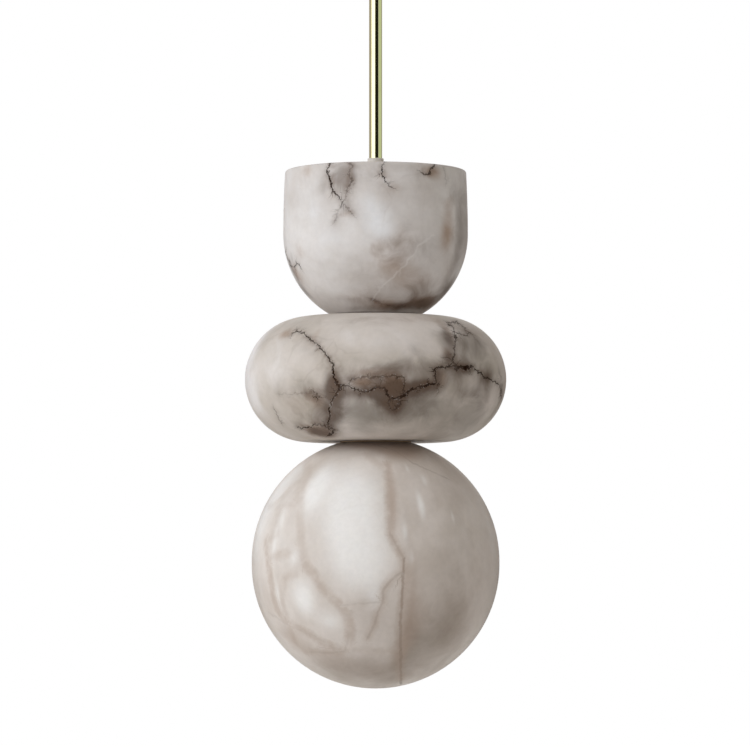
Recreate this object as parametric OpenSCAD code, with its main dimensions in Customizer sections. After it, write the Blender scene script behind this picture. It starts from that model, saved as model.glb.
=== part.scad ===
// Pendant light of three turned stones on a thin brass rod.
// Origin: on the rod's axis, in the plane of the ceiling. +Z is up, so the whole light lies below zero.
// Length unit: millimetre.

/* [Suspension] */
// From the ceiling down to the rim of the cup
suspension = 205; // [190:5:900]
// Outside diameter of the brass rod
rod_d = 10; // [8:0.5:12]
// Wall of the rod
rod_wall = 1; // [0.8:0.1:1.5]
// Wall of the collar at the foot of the rod
collar_wall = 1.2; // [1:0.1:4]
// Height of the collar
collar_h = 9; // [7:0.5:14]

/* [Cup stone] */
// Radius of the cup where it is widest
cup_r = 70.8; // [66:0.2:80]
// Height of the cup from its foot to its rim
cup_h = 111.5; // [100:0.5:125]
// Radius of the flat foot of the cup
cup_foot_r = 32; // [28:0.5:34]
// How much narrower the rim is than the widest place
cup_rim_draw = 1.3; // [0.6:0.1:3]
// Rounding of the rim's outer edge
rim_round = 1.6; // [0.8:0.1:2.4]
// Thickness of the stone lid
lid_t = 8; // [6:0.5:12]
// Width of the ledge that carries the lid
ledge_w = 4; // [3:0.5:6]

/* [Pebble stone] */
// Radius of the pebble
pebble_r = 100; // [94:0.5:110]
// Thickness of the pebble
pebble_t = 95; // [85:0.5:105]

/* [Globe stone] */
// Radius of the globe
globe_r = 94.5; // [88:0.5:104]
// Height of the straight band that makes the globe slightly taller than wide
globe_band = 2.4; // [0.4:0.2:5]
// Radius of the flat at the top of the globe
globe_flat_r = 28; // [27.5:0.5:32]

/* [Stone walls] */
// Wall of the hollow stones
stone_wall = 12; // [10:0.5:15]
// Thickness of the seal rings between stone and stone
seal_t = 1; // [0.8:0.1:1.2]

/* [Globe thread] */
// Radius of the running thread between hub and neck ring
thread_r = 20; // [19:0.25:20.5]
// Height of the threaded part of the hub
thread_h = 10; // [9:0.5:12]
// Wall of the neck ring cemented into the globe
neck_wall = 4; // [3:0.5:4.5]
// Thickness of the hub's flange
hub_flange_t = 3; // [2.5:0.25:4]
// Width of the hub's flange outside the thread
hub_flange_w = 5.5; // [5:0.25:6]

/* [Ceiling bracket] */
// Half the length of the bracket
bracket_half = 48; // [44:1:52]
// Width of the bracket strap
strap_w = 24; // [20:1:28]
// Sheet thickness of the bracket
strap_t = 2; // [1.5:0.25:2.5]
// Depth of the bridge below the feet
bridge_drop = 12; // [9:0.5:14]
// Half the length of the bridge
bridge_half = 26; // [24:1:28]
// Distance between the two slots
slot_spacing = 74; // [70:1:80]
// Width of a slot
slot_w = 5; // [4:0.5:6]
// Length of a slot from end to end
slot_l = 12; // [9:1:14]
// Length of the tabs that carry the driver and the terminal block
tab_l = 36; // [32:1:40]
// Length of the ears that take the canopy's screws
ear_l = 22; // [20:1:26]

/* [Canopy] */
// Outside radius of the canopy
canopy_r = 60; // [57:1:80]
// Depth of the canopy
canopy_h = 50; // [48:1:70]
// Wall of the spun brass
canopy_wall = 1.2; // [1:0.1:1.6]
// Rounding of the canopy's lower edge
canopy_round = 9; // [6:0.5:14]
// Gap between canopy and ceiling
canopy_gap = 0.5; // [0.3:0.1:1.5]

/* [Ball joint] */
// Radius of the ball
ball_r = 16; // [15:0.5:17]
// Depth of the ball's centre below the ceiling
ball_depth = 46; // [45:0.5:50]
// Wall of the nylon liner
liner_wall = 1.5; // [1.2:0.1:1.8]
// Outside radius of the joint's housing
housing_r = 22; // [21.5:0.5:24]
// Latitude below the ball's middle at which the housing opens
lip_angle = 42; // [40:1:44]
// Diameter of the hollow threaded stem
stem_d = 13; // [12:0.5:14]
// Swing of the rod each way
swing = 15; // [10:1:16]

/* [Lights] */
// Distance across the flats of a light's aluminium core
core_flat = 29; // [26:0.5:30]
// Length of a light's aluminium core
core_l = 48; // [40:1:52]
// Thickness of the light strips' boards
board_t = 1.2; // [1:0.1:1.6]

/* [Clearances] */
// Running clearance of a thread, pin or shaft
run_clear = 0.06; // [0.04:0.01:0.09]
// Gap between the ball, its liner and the housing
ball_clear = 0.2; // [0.15:0.05:0.3]
// Gap round a tube that passes through stone
stone_clear = 0.4; // [0.3:0.1:1]

/* [Hidden] */
$fn = 96;

// Levels along the axis, from the ceiling down
ball_z = -ball_depth;
rim_z = -suspension;
cup_foot_z = rim_z - cup_h;
pebble_top_z = cup_foot_z - seal_t;
pebble_mid_z = pebble_top_z - pebble_t / 2;
pebble_low_z = pebble_top_z - pebble_t;
globe_flat_z = pebble_low_z - seal_t;
globe_drop = sqrt(pow(globe_r, 2) - pow(globe_flat_r, 2)) + globe_band / 2;
globe_mid_z = globe_flat_z - globe_drop;

// Cup: the bowl is an arc centred on the axis that just reaches the foot's radius
bowl_rise = sqrt(pow(cup_r, 2) - pow(cup_foot_r, 2));
barrel_h = cup_h - bowl_rise;
barrel_r = (pow(barrel_h, 2) + pow(cup_rim_draw, 2)) / (2 * cup_rim_draw);
cup_bore_r = cup_r - cup_rim_draw - stone_wall;
lid_r = cup_bore_r + ledge_w;
lid_gap = 0.4;

// Tube, rod and nuts
tube_d = rod_d;
tube_r = tube_d / 2;
tube_hole_r = tube_r - 1;
stone_hole_r = tube_r + stone_clear;
collar_top_z = rim_z + seal_t + collar_h;
collar_r = tube_r + collar_wall;
join_z = rim_z + seal_t + collar_h / 2;
nut_flat = tube_d + 5;
nut_h = 5;

// Hub and neck of the globe
hub_flange_r = thread_r + hub_flange_w;
hub_low_z = pebble_low_z - thread_h - seal_t;
neck_r = thread_r + neck_wall;
neck_ring_h = thread_h;
hub_seat_z = pebble_low_z + hub_flange_t;

// Lights
core_r = core_flat / sqrt(3);
cup_core_z = cup_foot_z + cup_h * 0.5;
globe_core_z = globe_mid_z + core_l * 0.15;
tube_low_z = globe_core_z - core_l / 2 - nut_h - 3;

// Bracket and canopy
bridge_z = -bridge_drop;
bridge_low_z = bridge_z - strap_t;
ear_screw_z = -ear_l + 6;
ear_screw_r = 2;
canopy_low_z = -canopy_gap - canopy_h;
liner_in_r = ball_r + ball_clear;
liner_out_r = liner_in_r + liner_wall;
cavity_r = liner_out_r + ball_clear;
housing_top_z = ball_z + cavity_r + 3;
cap_low_z = ball_z - cavity_r * sin(lip_angle);
stem_r = stem_d / 2;
stem_hole_r = stem_r - 2;
stem_nut_flat = stem_d + 6;
stem_nut_h = 4;
stem_top_z = bridge_z + stem_nut_h + 1.5;
joint_gap = 0.1;
split_z = ball_z + 8;
skirt_r = housing_r - 2;
skirt_low_z = ball_z + 3;
housing_step = 3.5;
housing_gap = 0.8;
stop_screw_r = 2;
stop_r = 1.5;
stop_tip = ball_r - 2.5;
slot_reach = ball_r * sin(swing) + stop_r + 0.6;
ball_top = ball_r - 3;
rod_seat = 4;
lock_screw_r = 1.5;
lock_screw_l = 7;
collar_round = 0.4;
washer_inset = 0.2;
boss_rise = 1.5;
cut = 3.5;
key_depth = 1.5;
stop_key_r = 1.15;
lock_key_r = 0.9;
driver_inlet_r = 3;
driver_inlet_l = 8;
terminal_wire_r = 1.7;
terminal_shaft_r = 1.9;
earth_head_r = 3.8;
earth_head_h = 2.6;
wire_hole_rise = 6;
seal_inset = 0.4;
gasket_inset = 2;
gasket_from_hole = 5;
hub_gasket_inset = 0.5;
washer_edge = 0.7;
washer_clear = 0.3;
board_end = 1;

// Canopy screws
ear_w = 16;
screw_reach = canopy_r - bracket_half + strap_t + 1;
knurl_r = 5;
knurl_h = 6;
knurl_count = 16;

// Parts on the bracket's tabs
tab_w = 24;
small_screw_r = 1.5;
small_screw_l = 8;
driver_w = 56;
driver_d = 21;
driver_h = 20;
driver_y = housing_r + 2.5 + driver_d / 2;
driver_screw_at = [[-8, driver_y - 4], [8, driver_y - 4]];
terminal_w = 26;
terminal_d = 14;
terminal_h = 13;
terminal_wire_z = 4.55;
terminal_shaft_l = 6.5;
terminal_y = -tab_l + 2;
pole_pitch = 7.8;
terminal_screw_at = [pole_pitch / 2, terminal_y + 2];
earth_screw_at = [-6, -strap_w / 2 - 7];
earth_screw_r = 2;

// Small sizes of hub, globe, tube and lights
hub_web_z = pebble_low_z - 1.5;
hub_skirt = 4;
glue_gap = 0.1;
wire_hole_r = 1.8;
leds_per_board = 4;
board_w = 13;
led_w = 3.2;
led_t = 0.8;

brass = [0.86, 0.72, 0.42];
steel = [0.72, 0.73, 0.75];
stone = [0.87, 0.84, 0.80];
nylon = [0.93, 0.92, 0.88];
rubber = [0.83, 0.81, 0.78];
aluminium = [0.80, 0.81, 0.83];

// A round solid between two heights
module disc(r, low, high) {
    translate([0, 0, low]) cylinder(r = r, h = high - low);
}

// A flat ring between two heights
module ring(r_out, r_in, low, high) {
    difference() {
        disc(r_out, low, high);
        disc(r_in, low - 1, high + 1);
    }
}

// A hexagon nut on the axis, with its threaded bore
module nut(flat, bore_r, low, high) {
    difference() {
        translate([0, 0, low]) cylinder(r = flat / sqrt(3), h = high - low, $fn = 6);
        disc(bore_r, low - 1, high + 1);
    }
}

// The half plane right of the axis, between two heights
module half_plane(low, high, reach = 200) {
    translate([0, low]) square([reach, high - low]);
}

// A plate with round corners, lying between two heights
module rounded_box(width, depth, low, high, round) {
    translate([0, 0, low]) linear_extrude(high - low) {
        square([width - 2 * round, depth], center = true);
        square([width, depth - 2 * round], center = true);
        for (sx = [-1, 1], sy = [-1, 1])
            translate([sx * (width / 2 - round), sy * (depth / 2 - round)]) circle(r = round);
    }
}

// A round-headed screw along the axis: its head stands on z = 0, its shank goes down
module screw(shank_r, shank_l, head_r, head_h) {
    translate([0, 0, -shank_l]) cylinder(r = shank_r, h = shank_l);
    difference() {
        cylinder(r = head_r, h = head_h);
        translate([-head_r, -0.4, head_h - 0.9]) cube([2 * head_r, 0.8, 1.5]);
    }
}

// Ceiling bracket: folded strap seen from the front, with feet, webs, bridge and ears
module bracket_profile() {
    for (side = [0, 1]) mirror([side, 0]) {
        translate([bridge_half, -strap_t]) square([bracket_half - bridge_half, strap_t]);
        translate([bridge_half, bridge_low_z]) square([strap_t, -bridge_low_z]);
        translate([0, bridge_low_z]) square([bridge_half + strap_t, strap_t]);
    }
}

module bracket_ear(side) {
    ear_x = side * (bracket_half - strap_t / 2);
    difference() {
        translate([ear_x - strap_t / 2, -ear_w / 2, -ear_l]) cube([strap_t, ear_w, ear_l]);
        translate([ear_x, 0, ear_screw_z]) rotate([0, 90, 0])
            cylinder(r = ear_screw_r, h = 3 * strap_t, center = true);
    }
}

module slot_cut(x) {
    for (end = [-1, 1])
        translate([x + end * (slot_l - slot_w) / 2, 0, -strap_t - 1]) cylinder(d = slot_w, h = strap_t + 2);
    translate([x - (slot_l - slot_w) / 2, -slot_w / 2, -strap_t - 1])
        cube([slot_l - slot_w, slot_w, strap_t + 2]);
}

module ceiling_bracket() {
    color(steel) {
        difference() {
            union() {
                translate([0, strap_w / 2, 0]) rotate([90, 0, 0]) linear_extrude(strap_w) bracket_profile();
                translate([-tab_w / 2, -tab_l, bridge_low_z]) cube([tab_w, 2 * tab_l, strap_t]);
            }
            disc(stem_r + run_clear, bridge_low_z - 1, bridge_z + 1);
            slot_cut(slot_spacing / 2);
            slot_cut(-slot_spacing / 2);
            for (p = driver_screw_at) translate([p[0], p[1], bridge_low_z - 1])
                cylinder(r = small_screw_r + run_clear, h = strap_t + 2);
            translate([terminal_screw_at[0], terminal_screw_at[1], bridge_low_z - 1])
                cylinder(r = small_screw_r + run_clear, h = strap_t + 2);
            translate([earth_screw_at[0], earth_screw_at[1], bridge_low_z - 1])
                cylinder(r = earth_screw_r, h = strap_t + 2);
        }
        bracket_ear(1);
        bracket_ear(-1);
    }
}

// Canopy: a spun cup, open to the ceiling, that lets the ball joint's housing through its floor
module cup_profile(r, low, high, round) {
    translate([0, low]) square([r - round, high - low]);
    translate([0, low + round]) square([r, high - low - round]);
    translate([r - round, low + round]) circle(r = round);
}

module canopy() {
    color(brass) difference() {
        rotate_extrude() intersection() {
            difference() {
                cup_profile(canopy_r, canopy_low_z, -canopy_gap, canopy_round);
                cup_profile(canopy_r - canopy_wall, canopy_low_z + canopy_wall, 1,
                            canopy_round - canopy_wall);
                half_plane(canopy_low_z - 1, canopy_low_z + canopy_wall + 1, housing_r + housing_gap);
            }
            half_plane(canopy_low_z, 0);
        }
        translate([0, 0, ear_screw_z]) rotate([0, 90, 0])
            cylinder(r = ear_screw_r + run_clear, h = 2 * canopy_r + 2, center = true);
    }
}

module canopy_screws() {
    color(brass) for (side = [0, 180]) rotate([0, 0, side])
        translate([canopy_r, 0, ear_screw_z]) rotate([0, 90, 0]) {
            translate([0, 0, -screw_reach]) cylinder(r = ear_screw_r, h = screw_reach);
            difference() {
                cylinder(r = knurl_r, h = knurl_h);
                for (i = [0:knurl_count - 1]) rotate([0, 0, i * 360 / knurl_count])
                    translate([knurl_r, 0, 1]) cylinder(r = knurl_r * 0.11, h = knurl_h, $fn = 4);
            }
        }
}

// Ball joint: housing in two halves, stop screw, locknuts, liner and ball
module swivel_body() {
    color(brass) difference() {
        union() {
            disc(housing_r, split_z, housing_top_z);
            disc(skirt_r, skirt_low_z, split_z + 1);
            disc(stem_r, housing_top_z - 1, stem_top_z);
        }
        translate([0, 0, ball_z]) sphere(r = cavity_r);
        disc(cavity_r, skirt_low_z - 1, ball_z + housing_step);
        disc(stem_hole_r, ball_z, stem_top_z + 1);
    }
}

module swivel_cap() {
    color(brass) difference() {
        rotate_extrude() difference() {
            intersection() {
                half_plane(cap_low_z, split_z, housing_r);
                translate([0, ball_z]) circle(r = housing_r + boss_rise);
            }
            intersection() {
                translate([0, ball_z]) circle(r = cavity_r);
                half_plane(cap_low_z - 1, ball_z);
            }
            half_plane(ball_z, split_z + 1, cavity_r);
            half_plane(skirt_low_z - joint_gap, split_z + 1, skirt_r + joint_gap);
        }
        translate([0, 0, ball_z]) rotate([0, 90, 0])
            cylinder(r = stop_screw_r, h = housing_r + boss_rise + cut);
    }
}

module swivel_nuts() {
    color(steel) {
        nut(stem_nut_flat, stem_r + run_clear, bridge_low_z - stem_nut_h, bridge_low_z);
        nut(stem_nut_flat, stem_r + run_clear, bridge_z, bridge_z + stem_nut_h);
    }
}

module twist_stop_screw() {
    color(steel) translate([0, 0, ball_z]) rotate([0, 90, 0]) difference() {
        union() {
            translate([0, 0, cavity_r + joint_gap])
                cylinder(r = stop_screw_r, h = housing_r - cavity_r - 2 * joint_gap);
            translate([0, 0, stop_tip]) cylinder(r = stop_r, h = cavity_r + 2 * joint_gap - stop_tip);
        }
        translate([0, 0, housing_r - joint_gap - key_depth])
            cylinder(r = stop_key_r, h = 2 * key_depth, $fn = 6);
    }
}

module swivel_liner() {
    color(nylon) rotate_extrude() intersection() {
        difference() {
            translate([0, ball_z]) circle(r = liner_out_r);
            translate([0, ball_z]) circle(r = liner_in_r);
        }
        half_plane(cap_low_z + joint_gap, ball_z - stop_screw_r - 1);
    }
}

module swivel_ball() {
    color(brass) difference() {
        intersection() {
            translate([0, 0, ball_z]) sphere(r = ball_r);
            disc(ball_r + 1, ball_z - ball_r - 1, ball_z + ball_top);
        }
        disc(tube_r + run_clear, ball_z - ball_r - 1, ball_z + rod_seat);
        disc(tube_hole_r, ball_z, ball_z + ball_r);
        // Upright slot that the stop screw runs in
        intersection() {
            translate([stop_tip - 2, -stop_r - run_clear, ball_z - slot_reach])
                cube([ball_r, 2 * (stop_r + run_clear), 2 * slot_reach]);
            difference() {
                translate([0, 0, ball_z]) rotate([90, 0, 0])
                    cylinder(r = ball_r + 2, h = 20, center = true);
                translate([0, 0, ball_z]) rotate([90, 0, 0])
                    cylinder(r = stop_tip - 0.5, h = 22, center = true);
            }
        }
        translate([0, 0, ball_z]) rotate([0, -90, 0]) cylinder(r = lock_screw_r, h = ball_r + 1);
    }
}

module ball_lock_screw() {
    color(steel) translate([0, 0, ball_z]) rotate([0, -90, 0]) difference() {
        translate([0, 0, tube_r]) cylinder(r = lock_screw_r, h = lock_screw_l);
        translate([0, 0, tube_r + lock_screw_l - key_depth])
            cylinder(r = lock_key_r, h = 2 * key_depth, $fn = 6);
    }
}

// Small parts on the bracket's tabs
module led_driver() {
    color("white") difference() {
        translate([0, driver_y, 0])
            rounded_box(driver_w, driver_d, bridge_low_z - driver_h, bridge_low_z, 2);
        for (p = driver_screw_at) translate([p[0], p[1], bridge_low_z - small_screw_l])
            cylinder(r = small_screw_r, h = small_screw_l + 1);
        for (side = [-1, 1]) translate([side * driver_w / 2, driver_y, bridge_low_z - driver_h / 2])
            rotate([0, 90, 0]) cylinder(r = driver_inlet_r, h = driver_inlet_l, center = true);
    }
}

module driver_screws() {
    color(steel) for (p = driver_screw_at)
        translate([p[0], p[1], bridge_z]) screw(small_screw_r, small_screw_l, 2.8, 1.8);
}

module terminal_block() {
    color(nylon) difference() {
        translate([-terminal_w / 2, terminal_y - terminal_d / 2, bridge_low_z - terminal_h])
            cube([terminal_w, terminal_d, terminal_h]);
        for (pole = [-1:1]) {
            translate([pole * pole_pitch, terminal_y, bridge_low_z - terminal_wire_z])
                rotate([90, 0, 0]) cylinder(r = terminal_wire_r, h = terminal_d + 2, center = true);
            translate([pole * pole_pitch, terminal_y, bridge_low_z - terminal_h - 1])
                cylinder(r = terminal_shaft_r, h = terminal_shaft_l);
        }
        translate([terminal_screw_at[0], terminal_screw_at[1], bridge_low_z - small_screw_l])
            cylinder(r = small_screw_r, h = small_screw_l + 1);
    }
}

module terminal_screw() {
    color(steel) translate([terminal_screw_at[0], terminal_screw_at[1], bridge_z])
        screw(small_screw_r, small_screw_l, 2.8, 1.8);
}

module earth_screw() {
    color(steel) translate([earth_screw_at[0], earth_screw_at[1], bridge_low_z]) mirror([0, 0, 1])
        screw(earth_screw_r, strap_t + 2, earth_head_r, earth_head_h);
}

// Rod, collar and the threaded tube that carries the stones
module rod() {
    color(brass) ring(tube_r, tube_r - rod_wall, join_z, ball_z + rod_seat);
}

module collar() {
    color(brass) rotate_extrude() difference() {
        translate([0, rim_z + seal_t]) {
            square([collar_r - collar_round, collar_h]);
            square([collar_r, collar_h - collar_round]);
            translate([collar_r - collar_round, collar_h - collar_round]) circle(r = collar_round);
        }
        half_plane(rim_z, collar_top_z + 1, tube_r + run_clear);
    }
}

module collar_washer() {
    color(rubber) ring(collar_r - washer_inset, tube_r + run_clear, rim_z, rim_z + seal_t);
}

module centre_tube() {
    color(steel) difference() {
        ring(tube_r, tube_hole_r, tube_low_z, join_z);
        for (z = [cup_core_z, pebble_mid_z]) translate([0, 0, z + core_l / 2 + nut_h + wire_hole_rise])
            rotate([0, 90, 0]) cylinder(r = wire_hole_r, h = tube_d);
    }
}

module tube_nuts() {
    color(steel) {
        for (z = [cup_core_z, pebble_mid_z, globe_core_z]) {
            nut(nut_flat, tube_r + run_clear, z + core_l / 2, z + core_l / 2 + nut_h);
            nut(nut_flat, tube_r + run_clear, z - core_l / 2 - nut_h, z - core_l / 2);
        }
        nut(nut_flat, tube_r + run_clear, hub_web_z - nut_h, hub_web_z);
    }
}

// Cup: outside a bowl arc that runs into a slightly drawn-in barrel, inside the same less the wall
module cup_outline(r, rise, barrel, low, high) {
    intersection() {
        translate([0, rise]) circle(r = r);
        half_plane(low, rise);
    }
    intersection() {
        translate([r - barrel, rise]) circle(r = barrel, $fn = 1440);
        half_plane(rise, high);
    }
}

module cup() {
    color(stone) translate([0, 0, cup_foot_z]) rotate_extrude($fn = 180) difference() {
        union() {
            intersection() {
                cup_outline(cup_r, bowl_rise, barrel_r, 0, cup_h);
                half_plane(0, cup_h - rim_round);
            }
            translate([0, cup_h - rim_round]) square([cup_r - cup_rim_draw - rim_round, rim_round]);
            intersection() {
                translate([cup_r - cup_rim_draw - rim_round, cup_h - rim_round]) circle(r = rim_round);
                half_plane(cup_h - rim_round, cup_h);
            }
        }
        cup_outline(cup_r - stone_wall, bowl_rise, barrel_r - stone_wall, stone_wall, cup_h - lid_t);
        half_plane(cup_h - lid_t - seal_t, cup_h + 1, lid_r + lid_gap);
        half_plane(-1, stone_wall + 1, stone_hole_r);
    }
}

module lid() {
    color(stone) ring(lid_r, stone_hole_r, rim_z - lid_t, rim_z);
}

module lid_seal() {
    color(rubber) ring(lid_r - seal_inset, cup_bore_r + seal_inset, rim_z - lid_t - seal_t, rim_z - lid_t);
}

module cup_gasket() {
    inner_r = stone_hole_r + gasket_from_hole;
    color(rubber) ring(cup_foot_r - gasket_inset, inner_r, pebble_top_z, cup_foot_z);
}

// Pebble: flat faces and a fully rounded edge, hollow, with a mouth below for the light
module pebble_outline(r, half) {
    square([r - half, 2 * half]);
    translate([r - half, half]) circle(r = half);
}

module pebble() {
    color(stone) translate([0, 0, pebble_low_z]) rotate_extrude($fn = 180) difference() {
        intersection() {
            pebble_outline(pebble_r, pebble_t / 2);
            half_plane(-1, pebble_t + 1);
        }
        intersection() {
            translate([0, stone_wall]) pebble_outline(pebble_r - stone_wall, pebble_t / 2 - stone_wall);
            half_plane(0, pebble_t);
        }
        half_plane(pebble_t - stone_wall - 1, pebble_t + 1, stone_hole_r);
        half_plane(-1, stone_wall + 1, thread_r);
        half_plane(-1, hub_flange_t + seal_t, hub_flange_r + stone_clear);
    }
}

module hub_gasket() {
    outer_r = hub_flange_r - hub_gasket_inset;
    color(rubber) ring(outer_r, thread_r + hub_gasket_inset, hub_seat_z, hub_seat_z + seal_t);
}

// Hub: flange let into the pebble, threaded skirt that the globe screws onto
module hub() {
    color(brass) difference() {
        union() {
            disc(hub_flange_r, pebble_low_z, hub_seat_z);
            disc(thread_r - run_clear, hub_low_z, hub_seat_z);
        }
        disc(thread_r - hub_skirt, hub_low_z - 1, hub_web_z);
        disc(tube_r + run_clear, hub_low_z - 1, hub_seat_z + 1);
    }
}

module globe_washer() {
    color(rubber) ring(globe_flat_r - washer_edge, thread_r + washer_clear, globe_flat_z, pebble_low_z);
}

module globe_neck_ring() {
    color(brass) ring(neck_r, thread_r, globe_flat_z - neck_ring_h, globe_flat_z);
}

// Globe: two half balls with a short straight band between, flat on top, hollow, open at its neck
module globe_outline(r) {
    for (side = [-1, 1]) translate([0, side * globe_band / 2]) circle(r = r);
    translate([0, -globe_band / 2]) square([r, globe_band]);
}

module globe() {
    color(stone) translate([0, 0, globe_mid_z]) rotate_extrude($fn = 180) difference() {
        intersection() {
            globe_outline(globe_r);
            half_plane(-globe_r - globe_band, globe_drop);
        }
        intersection() {
            globe_outline(globe_r - stone_wall);
            half_plane(-globe_r, globe_r);
        }
        half_plane(0, globe_r, neck_r + glue_gap);
    }
}

// Lights: a six-sided aluminium core on the tube, with a strip of emitters on each side
module heatsink(z) {
    color(aluminium) difference() {
        translate([0, 0, z - core_l / 2]) cylinder(r = core_r, h = core_l, $fn = 6);
        disc(tube_r + run_clear, z - core_l, z + core_l);
    }
}

module led_boards(z) {
    board_l = core_l - 2 * board_end;
    led_face = core_flat / 2 + board_t;
    led_step = board_l / leds_per_board;
    for (side = [0:5]) rotate([0, 0, 30 + side * 60]) {
        color("white") translate([core_flat / 2, -board_w / 2, z - board_l / 2])
            cube([board_t, board_w, board_l]);
        color("khaki") for (i = [0:leds_per_board - 1])
            translate([led_face, -led_w / 2, z - board_l / 2 + (i + 0.5) * led_step - led_w / 2])
                cube([led_t, led_w, led_w]);
    }
}

module cup_heatsink() { heatsink(cup_core_z); }
module cup_led_boards() { led_boards(cup_core_z); }
module pebble_heatsink() { heatsink(pebble_mid_z); }
module pebble_led_boards() { led_boards(pebble_mid_z); }
module globe_heatsink() { heatsink(globe_core_z); }
module globe_led_boards() { led_boards(globe_core_z); }

ceiling_bracket();
canopy();
canopy_screws();
swivel_body();
swivel_cap();
swivel_nuts();
twist_stop_screw();
led_driver();
driver_screws();
terminal_block();
terminal_screw();
earth_screw();
swivel_liner();
swivel_ball();
ball_lock_screw();
rod();
collar();
collar_washer();
lid();
lid_seal();
cup();
cup_gasket();
pebble();
hub_gasket();
hub();
centre_tube();
tube_nuts();
cup_heatsink();
cup_led_boards();
pebble_heatsink();
pebble_led_boards();
globe_heatsink();
globe_led_boards();
globe_washer();
globe_neck_ring();
globe();
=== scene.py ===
import math
import bpy
import numpy as np
from mathutils import Matrix, Vector
from mathutils.bvhtree import BVHTree


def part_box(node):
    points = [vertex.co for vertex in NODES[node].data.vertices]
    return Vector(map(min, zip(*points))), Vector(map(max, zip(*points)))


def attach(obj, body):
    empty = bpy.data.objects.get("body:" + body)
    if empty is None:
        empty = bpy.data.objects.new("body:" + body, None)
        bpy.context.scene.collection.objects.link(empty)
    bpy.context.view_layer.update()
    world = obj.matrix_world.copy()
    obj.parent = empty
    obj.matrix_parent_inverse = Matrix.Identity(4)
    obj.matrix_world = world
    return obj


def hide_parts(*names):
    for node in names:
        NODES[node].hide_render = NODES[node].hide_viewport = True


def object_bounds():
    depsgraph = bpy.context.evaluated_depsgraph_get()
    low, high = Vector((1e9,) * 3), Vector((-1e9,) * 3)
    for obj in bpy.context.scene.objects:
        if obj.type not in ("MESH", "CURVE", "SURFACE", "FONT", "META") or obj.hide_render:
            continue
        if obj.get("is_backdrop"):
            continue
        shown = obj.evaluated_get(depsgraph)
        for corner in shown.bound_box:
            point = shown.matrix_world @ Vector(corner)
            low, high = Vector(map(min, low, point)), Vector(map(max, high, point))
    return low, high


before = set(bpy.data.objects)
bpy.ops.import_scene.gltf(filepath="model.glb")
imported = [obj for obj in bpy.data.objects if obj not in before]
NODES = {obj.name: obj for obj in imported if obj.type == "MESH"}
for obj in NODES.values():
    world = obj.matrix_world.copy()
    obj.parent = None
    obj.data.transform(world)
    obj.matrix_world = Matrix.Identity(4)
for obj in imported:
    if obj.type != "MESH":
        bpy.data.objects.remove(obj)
cad_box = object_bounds()

MM = 0.001

# The photograph's camera: it stands level with the globe's middle and looks slightly up. The rod's axis
# is at column AXIS_X_PX, and HORIZON_Y_PX is the row at the camera's own height
PHOTO_SIZE = 750
AXIS_X_PX = 375.6
HORIZON_Y_PX = 566.0
CAMERA_DISTANCE = 2.676
LENS_MM = 168.0
SENSOR_MM = 36.0
FOCAL_PX = PHOTO_SIZE * LENS_MM / SENSOR_MM
PX = CAMERA_DISTANCE / FOCAL_PX
PEBBLE_MIDDLE_Y_PX = 379.6
CAMERA_REACH = 50.0


def round_axis(radius, azimuth, z):
    """A place round the rod's axis. Azimuth 0 is towards the camera, 90 degrees is right."""
    return (radius * math.sin(azimuth), -radius * math.cos(azimuth), z)


def put(name, data):
    """A new object, in the scene."""
    piece = bpy.data.objects.new(name, data)
    bpy.context.collection.objects.link(piece)
    return piece


def middle(node):
    low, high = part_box(node)
    return (Vector(low) + Vector(high)) / 2


CAMERA_PLACE = Vector((
    (PHOTO_SIZE / 2 - AXIS_X_PX) * PX,
    -CAMERA_DISTANCE,
    middle("pebble").z - (HORIZON_Y_PX - PEBBLE_MIDDLE_Y_PX) * PX,
))
CAMERA_PITCH = math.atan((HORIZON_Y_PX - PHOTO_SIZE / 2) / FOCAL_PX)


def make_camera():
    data = bpy.data.cameras.new("camera")
    data.lens = LENS_MM
    data.sensor_width = SENSOR_MM
    data.clip_end = CAMERA_REACH
    camera = put("camera", data)
    camera.location = CAMERA_PLACE
    camera.rotation_euler = (math.pi / 2 + CAMERA_PITCH, 0, 0)
    bpy.context.scene.camera = camera


def photo_ray(x, y):
    """Direction from the camera through a point of the photograph."""
    flat = Vector((x - PHOTO_SIZE / 2, FOCAL_PX, PHOTO_SIZE / 2 - y))
    return (Matrix.Rotation(CAMERA_PITCH, 3, "X") @ flat).normalized()


# Outlines of the three stones, as (radius, height) in metres, worked out from the frame
def arc(centre, radius, start, end, steps):
    """Points on an arc, with its start and end in degrees."""
    angles = np.radians(np.linspace(start, end, steps))
    return [(centre[0] + radius * math.cos(a), centre[1] + radius * math.sin(a)) for a in angles]


def straight(start, end, steps):
    t = np.linspace(0, 1, steps)
    return [(start[0] + (end[0] - start[0]) * s, start[1] + (end[1] - start[1]) * s) for s in t]


def join(*runs):
    """One outline from several runs, without the points that two runs share."""
    line = []
    for run in runs:
        for point in run:
            if not line or math.dist(point, line[-1]) > SAME_POINT:
                line.append(point)
    return line


# Sizes of part.scad that the frame doesn't give
CUP_FOOT_R = 32.0 * MM
CUP_DRAW = 1.3 * MM
RIM_ROUND = 1.6 * MM
GLOBE_FLAT_R = 28.0 * MM
GLOBE_BAND = 2.4 * MM
HOLE_R = 5.4 * MM
NECK_R = 24.1 * MM
LID_LEDGE_R = 61.9 * MM
LID_DEPTH = 9.0 * MM
# The skins' own: where the rim's round starts in degrees, the round of the lid's edge, and how far the
# skins of pebble and globe keep clear of the washer between them
RIM_ROUND_START = 4
LID_EDGE = 0.5 * MM
JOINT_GAP = 0.03 * MM
# How fine the skins are: the length of a step, and the counts of steps on short runs
STEP = 1.3 * MM
FOOT_STEPS = 12
RIM_ARC_STEPS = 8
RIM_STEPS = 6
SHORT_STEPS = 4
BAND_STEPS = 3
SAME_POINT = 1e-7
ON_AXIS = 1e-6


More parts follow.
